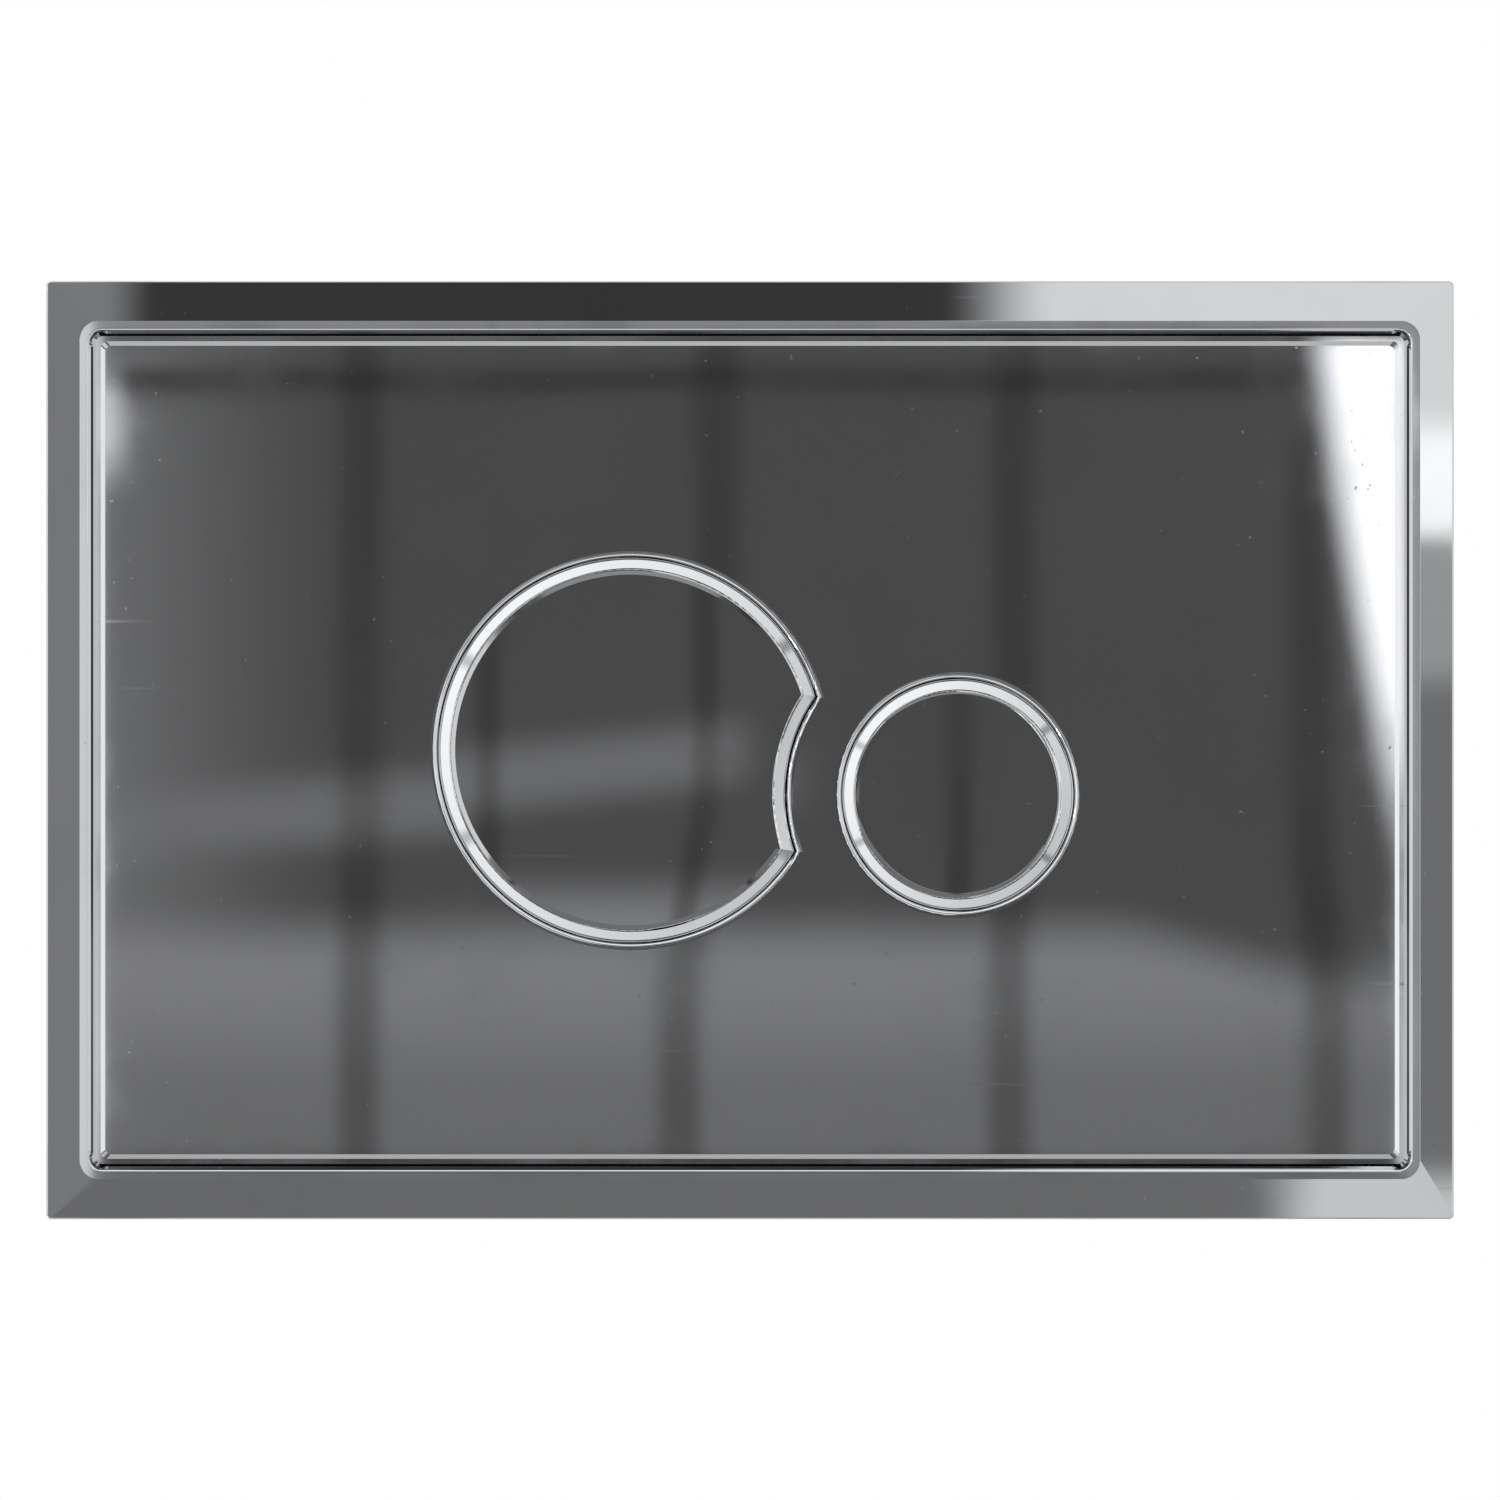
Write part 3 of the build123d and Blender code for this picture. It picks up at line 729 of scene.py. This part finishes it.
easedLook = {
    "mounting_frame": 0.15 * mm,
    "button_carrier": 0.12 * mm,
    "wing_nut_left": 0.20 * mm,
    "wing_nut_right": 0.20 * mm,
    "rod_washer_left": 0.12 * mm,
    "rod_washer_right": 0.12 * mm,
    "full_push_head": 0.10 * mm,
    "half_push_head": 0.10 * mm,
    "full_button_bumpers": 0.30 * mm,
    "half_button_bumpers": 0.30 * mm,
}


def easedPiece(node, width):
    flat, sharp = math.radians(1.0), math.radians(40)
    piece = bpy.data.objects.new(node + "_eased", frame["nodes"][node].data.copy())
    bpy.context.scene.collection.objects.link(piece)
    hold(piece)
    bpy.ops.mesh.customdata_custom_splitnormals_clear()
    pickAll(piece)
    bpy.ops.mesh.remove_doubles(threshold=2 * weld)
    bpy.ops.mesh.dissolve_limited(angle_limit=flat)
    close()
    applyModifier(piece, "BEVEL", {
        "width": width, "segments": 2, "limit_method": "ANGLE", "angle_limit": sharp,
        "use_clamp_overlap": False, "harden_normals": False,
    })
    settle(piece, node, 30.0)


for node, width in easedLook.items():
    easedPiece(node, width)
print("moulded edges eased")


# camera, square on to the plate

cameraSet = {"distance": 1.5, "frameWidth": 0.26208, "sensor": 36.0, "clipEnd": 50.0}

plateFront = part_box("cover_plate")[0].y
cameraData = bpy.data.cameras.new("photoCamera")
cameraData.sensor_width = cameraSet["sensor"]
cameraData.lens = cameraSet["sensor"] * cameraSet["distance"] / cameraSet["frameWidth"]
cameraData.clip_end = cameraSet["clipEnd"]
camera = bpy.data.objects.new("photoCamera", cameraData)
camera.location = (0.0, plateFront - cameraSet["distance"], 0.0)
camera.rotation_euler = (math.radians(90), 0.0, 0.0)
bpy.context.scene.collection.objects.link(camera)
bpy.context.scene.camera = camera


# studio: a tent of dim walls, posts, a window and lit sides, which only reflections see
# places are in millimetres as the flat panel mirrors them, tones in grey levels that the chrome shows
# a pair such as "begins" is where a soft edge starts and where it is full

tentSet = {
    "radius": 4.0,
    "chrome": 0.78,
    "leastFront": 0.02,
    "room": {"tone": 73.0, "leftTone": 104.0, "leftBegins": (68.0, 122.0)},
    "ceilingLine": {"low": 62.6, "high": 66.6, "soft": 1.6, "tone": 58.0},
    "shelf": {"low": -11.0, "high": 0.0, "soft": 4.5, "slope": 0.07, "ends": (-4.0, 16.0), "tone": 105.0},
    "lower": {
        "edge": -31.5, "soft": 6.5, "sag": 9.0, "sags": (60.0, 105.0),
        "top": 121.0, "foot": 104.0, "fades": (38.0, 62.0),
    },
    "posts": {
        "places": ((-67.8, -68.2), (-5.6, -12.2), (46.2, 45.2), (98.0, 101.0)),  # above and below
        "half": 3.6, "soft": 2.4, "depth": (0.34, 0.46), "changes": (12.0, 42.0),
    },
    "window": {"edge": 111.4, "slant": -0.155, "begins": (-5.0, 4.0), "foot": (-30.0, 6.0), "tone": 275.0},
    "flare": {"low": 51.0, "high": 63.0, "soft": 7.0, "begins": (107.5, 113.0), "tone": 225.0},
    "panelEdge": {"top": 71.3, "bottom": 71.3, "left": 113.4, "right": 113.4},
    "groove": {"begins": (-0.2, 0.2), "tones": {"left": 195.0, "right": 200.0, "top": 68.0, "bottom": 34.0}},
    "ridge": {"begins": (1.3, 1.7), "tones": {"left": 200.0, "right": 130.0, "top": 132.0, "bottom": 106.0}},
    "borders": {  # each a wall, with lights laid over it: tone, from, to, soft edge
        "top": {
            "begins": (100.0, 150.0), "tone": 54.0,
            "lights": ((118.0, -900.0, -113.0, 5.0), (208.0, 46.0, 900.0, 11.0)),
        },
        "bottom": {"begins": (100.0, 150.0), "tone": 102.0, "lights": ((192.0, 98.0, 900.0, 7.0),)},
        "left": {"begins": (140.0, 200.0), "tone": 116.0, "lights": ()},
        "right": {
            "begins": (140.0, 200.0), "tone": 106.0,
            "lights": (
                (190.0, -900.0, -80.0, 5.0), (143.0, 13.0, 900.0, 5.0),
                (248.0, 40.0, 900.0, 3.0), (206.0, 60.0, 900.0, 3.0),
            ),
        },
    },
    "stepLight": {
        "left": (240.0, 335.0), "right": (150.0, 365.0), "soft": 10.0, "ends": (94.0, 130.0), "tone": 225.0,
    },
    "studio": {
        "begins": (480.0, 560.0),
        "wall": 96.0, "blinds": 200.0, "period": 460.0, "phase": 0.9, "blindEdge": (0.0, 0.9),
        "floor": 58.0, "floorFar": 150.0, "floorFades": (330.0, 1150.0),
        "wallFoot": (-560.0, -330.0), "wallSlope": 0.12,
    },
    "shoulder": {
        "begins": (520.0, 590.0), "tones": {"left": 226.0, "right": 236.0, "top": 176.0, "bottom": 165.0},
    },
    "stepWall": {
        "begins": (760.0, 785.0), "tones": {"left": 205.0, "right": 198.0, "top": 18.0, "bottom": 22.0},
    },
    "panelEnds": (180.0, 260.0),
    "rims": {"begins": (0.72, 0.77), "tone": 220.0, "right": -24.0, "up": 14.0},
    "seam": {"low": 0.48, "high": 0.54, "soft": 0.025, "shift": 0.06, "depth": 0.48, "right": 0.08},
    "sides": {"begins": (0.90, 0.94), "tone": 246.0},
    "flanks": {"begins": (0.965, 0.985), "ends": (0.3, 0.6), "tone": 165.0},
    "behind": {"begins": (0.0, 0.15), "tone": 90.0},
    "backLight": {"begins": (0.2, 0.6), "above": (-0.3, 0.4), "tone": 205.0},
    "lamps": {"places": ((-171.0, 77.0), (-213.0, 77.0)), "size": 2.6, "core": 0.6, "glow": 30.0},  # degrees
}


def glow(tone):  # how bright a wall is for the chrome to show a grey level
    return (tone / 255.0) ** 2.2 / tentSet["chrome"]


def tentPlaces(wire, place):  # where a point of the tent is mirrored
    way = wire.node("ShaderNodeVectorMath", {"operation": "NORMALIZE"}, {0: place})
    wayX, wayY, wayZ = apart(wire, way)
    front = wire.math("MAXIMUM", 0 - wayY, tentSet["leastFront"])
    reach = 1 / mm / (1.0 / cameraSet["distance"] + 1.0 / tentSet["radius"])
    across = wayX / front * reach
    up = wayZ / front * reach
    left = 0 - across
    down = 0 - up
    return {
        "way": way, "wayX": wayX, "wayY": wayY, "wayZ": wayZ,
        "across": across, "up": up, "left": left, "down": down,
        "sides": {"top": (up, across), "bottom": (down, across), "left": (left, up), "right": (across, up)},
    }


def roomTone(at):  # the room that the flat faces mirror
    across, up, left, down = at["across"], at["up"], at["left"], at["down"]
    room = tentSet["room"]
    tone = lay(glow(room["tone"]), glow(room["leftTone"]), smooth(left, *room["leftBegins"]))
    line = tentSet["ceilingLine"]
    tone = lay(tone, glow(line["tone"]), band(up, line["low"], line["high"], line["soft"]))
    shelf = tentSet["shelf"]
    lit = band(up - across * shelf["slope"], shelf["low"], shelf["high"], shelf["soft"])
    tone = lay(tone, glow(shelf["tone"]), lit * (1 - smooth(across, *shelf["ends"])))
    lower = tentSet["lower"]
    lowerTone = lay(glow(lower["top"]), glow(lower["foot"]), smooth(down, *lower["fades"]))
    edge = lower["edge"] - smooth(across, *lower["sags"]) * lower["sag"]
    tone = lay(tone, lowerTone, smooth(edge - up, 0 - lower["soft"], lower["soft"]))
    posts = tentSet["posts"]
    below = smooth(down, *posts["changes"])
    half = posts["half"]
    depthAbove, depthBelow = posts["depth"]
    for head, base in posts["places"]:
        post = band(across - below * (base - head), head - half, head + half, posts["soft"])
        tone = tone * (1 - post * (depthAbove + below * (depthBelow - depthAbove)))
    window = tentSet["window"]
    pane = across - (window["edge"] + up * window["slant"])
    tone = lay(tone, glow(window["tone"]), smooth(pane, *window["begins"]) * smooth(up, *window["foot"]))
    flare = tentSet["flare"]
    lit = smooth(left, *flare["begins"]) * band(up, flare["low"], flare["high"], flare["soft"])
    return lay(tone, glow(flare["tone"]), lit)


def stripTone(at, tone):  # strips that the groove and the flat ridge mirror, just outside the panel
    for strip in (tentSet["groove"], tentSet["ridge"]):
        begins, ends = strip["begins"]
        for side, (out, along) in at["sides"].items():
            edge = tentSet["panelEdge"][side]
            tone = lay(tone, glow(strip["tones"][side]), smooth(out, edge + begins, edge + ends))
    return tone


def borderTone(at, tone):  # walls that the bevelled border mirrors
    for side, (out, along) in at["sides"].items():
        border = tentSet["borders"][side]
        wall = glow(border["tone"])
        for shown, low, high, soft in border["lights"]:
            wall = lay(wall, glow(shown), band(along, low, high, soft))
        tone = lay(tone, wall, smooth(out, *border["begins"]))
    return tone


def stepTone(wire, at, tone):  # a tall light on either side, for the step's wall and the rims' inner edges
    light = tentSet["stepLight"]
    for side in ("left", "right"):
        out, along = at["sides"][side]
        low, high = light[side]
        tall = 1 - smooth(wire.math("ABSOLUTE", along), *light["ends"])
        tone = lay(tone, glow(light["tone"]), band(out, low, high, light["soft"]) * tall)
    return tone


def studioTone(wire, at, tone):  # a dim studio further out, with lit panels for shoulder and step
    across, up = at["across"], at["up"]
    studio = tentSet["studio"]
    wave = wire.math("SINE", across * (math.tau / studio["period"]) + studio["phase"])
    wall = lay(glow(studio["wall"]), glow(studio["blinds"]), smooth(wave, *studio["blindEdge"]))
    ground = lay(glow(studio["floor"]), glow(studio["floorFar"]), smooth(at["down"], *studio["floorFades"]))
    dim = lay(ground, wall, smooth(up + across * studio["wallSlope"], *studio["wallFoot"]))
    outward = wire.math("SQRT", across * across + up * up)
    tone = lay(tone, dim, smooth(outward, *studio["begins"]))
    for panel in (tentSet["shoulder"], tentSet["stepWall"]):
        for side, (out, along) in at["sides"].items():
            long = 1 - smooth(wire.math("ABSOLUTE", along), *tentSet["panelEnds"])
            tone = lay(tone, glow(panel["tones"][side]), smooth(out, *panel["begins"]) * long)
    return tone


def sideTone(wire, at, tone):  # lit sides all round for the rims, and what lies behind
    wayX, wayY, wayZ = at["wayX"], at["wayY"], at["wayZ"]
    ringed = wire.math("MAXIMUM", wire.math("SQRT", wayX * wayX + wayZ * wayZ), 0.001)
    flatX = wayX / ringed
    flatZ = wayZ / ringed
    rims = tentSet["rims"]
    even = glow(rims["tone"])
    rimTone = even + flatX * (glow(rims["tone"] + rims["right"]) - even)
    rimTone = rimTone + flatZ * (glow(rims["tone"] + rims["up"]) - even)
    seam = tentSet["seam"]
    dark = band(wire.math("ABSOLUTE", flatZ) - flatX * seam["shift"], seam["low"], seam["high"], seam["soft"])
    rimTone = rimTone * (1 - (flatX * seam["right"] + seam["depth"]) * dark)
    tone = lay(tone, rimTone, smooth(ringed, *rims["begins"]))
    sides, flanks = tentSet["sides"], tentSet["flanks"]
    tone = lay(tone, glow(sides["tone"]), smooth(ringed, *sides["begins"]))
    low = 1 - smooth(wayZ, *flanks["ends"])
    tone = lay(tone, glow(flanks["tone"]), smooth(ringed, *flanks["begins"]) * low)
    behind, back = tentSet["behind"], tentSet["backLight"]
    tone = lay(tone, glow(behind["tone"]), smooth(wayY, *behind["begins"]))
    return lay(tone, glow(back["tone"]), smooth(wayY, *back["begins"]) * smooth(wayZ, *back["above"]))


def lampTone(wire, at, tone):  # two small lamps, which glint on the rims
    lamps = tentSet["lamps"]
    outer = math.cos(math.radians(lamps["size"]))
    inner = math.cos(math.radians(lamps["size"] * lamps["core"]))
    for place in lamps["places"]:
        turn, slant = (math.radians(angle) for angle in place)
        flat = math.sin(slant)
        toLamp = (flat * math.cos(turn), 0 - math.cos(slant), 0 - flat * math.sin(turn))
        sockets = {0: at["way"], 1: toLamp}
        near = wire.node("ShaderNodeVectorMath", {"operation": "DOT_PRODUCT"}, sockets, "Value")
        tone = tone + lamps["glow"] * smooth(near, outer, inner)
    return tone


def studioTent():
    clearSelection()
    bpy.ops.mesh.primitive_uv_sphere_add(segments=64, ring_count=32, radius=tentSet["radius"])
    tent = begin("studioTent")
    bpy.ops.object.shade_smooth()
    for kind in ("camera", "diffuse", "transmission", "shadow"):
        setattr(tent, "visible_" + kind, False)
    material, wire, place = newMaterial("tentWalls")
    dress(tent.data, material)
    at = tentPlaces(wire, place)
    tone = roomTone(at)
    tone = stripTone(at, tone)
    tone = borderTone(at, tone)
    tone = stepTone(wire, at, tone)
    tone = studioTone(wire, at, tone)
    tone = sideTone(wire, at, tone)
    tone = lampTone(wire, at, tone)
    shine = wire.node("ShaderNodeEmission", {}, {"Color": tone, "Strength": 1.0})
    wire.node("ShaderNodeOutputMaterial", {}, {"Surface": shine})


studioTent()


# white surround: camera and mirrors see white, the rest gets a soft fill

worldSet = {"fill": 0.5}

world = bpy.data.worlds.new("whiteSurround")
bpy.context.scene.world = world
world.use_nodes = True
world.node_tree.nodes.clear()
sky = Wire(world.node_tree)
rays = ("Is Camera Ray", "Is Glossy Ray", "Is Transmission Ray")
seen = [sky.node("ShaderNodeLightPath", out=ray) for ray in rays]
shown = sky.math("MINIMUM", seen[0] + seen[1] + seen[2], 1.0)
strength = worldSet["fill"] + shown * (1.0 - worldSet["fill"])
surround = sky.node("ShaderNodeBackground", {}, {"Color": (1.0, 1.0, 1.0, 1.0), "Strength": strength})
sky.node("ShaderNodeOutputWorld", {}, {"Surface": surround})


# pale floor, which fades into the white surround

floorSet = {"height": -0.30, "radius": 1.3, "fades": (0.35, 0.95), "colour": (0.86, 0.86, 0.86, 1.0)}


def paleFloor():
    radius = floorSet["radius"]
    clearSelection()
    bpy.ops.mesh.primitive_circle_add(
        vertices=96, radius=radius, fill_type="NGON", location=(0.0, 0.0, floorSet["height"]))
    floor = begin("paleFloor")
    floor.visible_glossy = False
    material, wire, place = newMaterial("paleFloor")
    dress(floor.data, material)
    away = wire.node("ShaderNodeVectorMath", {"operation": "LENGTH"}, {0: place}, "Value")
    matt = wire.node("ShaderNodeBsdfDiffuse", {}, {"Color": floorSet["colour"]})
    clear = wire.node("ShaderNodeBsdfTransparent")
    start, end = floorSet["fades"]
    fade = smooth(away, radius * start, radius * end)
    surface = wire.node("ShaderNodeMixShader", {}, {0: fade, 1: matt, 2: clear})
    wire.node("ShaderNodeOutputMaterial", {}, {"Surface": surface})


paleFloor()


# soft lamps for the plastic and steel behind the plate

lampSet = {
    "keyLamp": {"place": (-0.9, -1.1, 1.3), "size": 1.0, "power": 14.0},
    "fillLamp": {"place": (1.2, -0.6, 0.5), "size": 1.0, "power": 7.0},
    "backLamp": {"place": (0.6, 1.4, 1.0), "size": 1.0, "power": 14.0},
}

for name, lamp in lampSet.items():
    lampData = bpy.data.lights.new(name, "AREA")
    lampData.size = lamp["size"]
    lampData.energy = lamp["power"]
    lampObject = bpy.data.objects.new(name, lampData)
    lampObject.location = lamp["place"]
    lampObject.rotation_euler = lampObject.location.to_track_quat("Z", "Y").to_euler()
    lampObject.visible_glossy = False
    bpy.context.scene.collection.objects.link(lampObject)
print("studio and lamps set")


bpy.context.scene.view_settings.view_transform = "Standard"
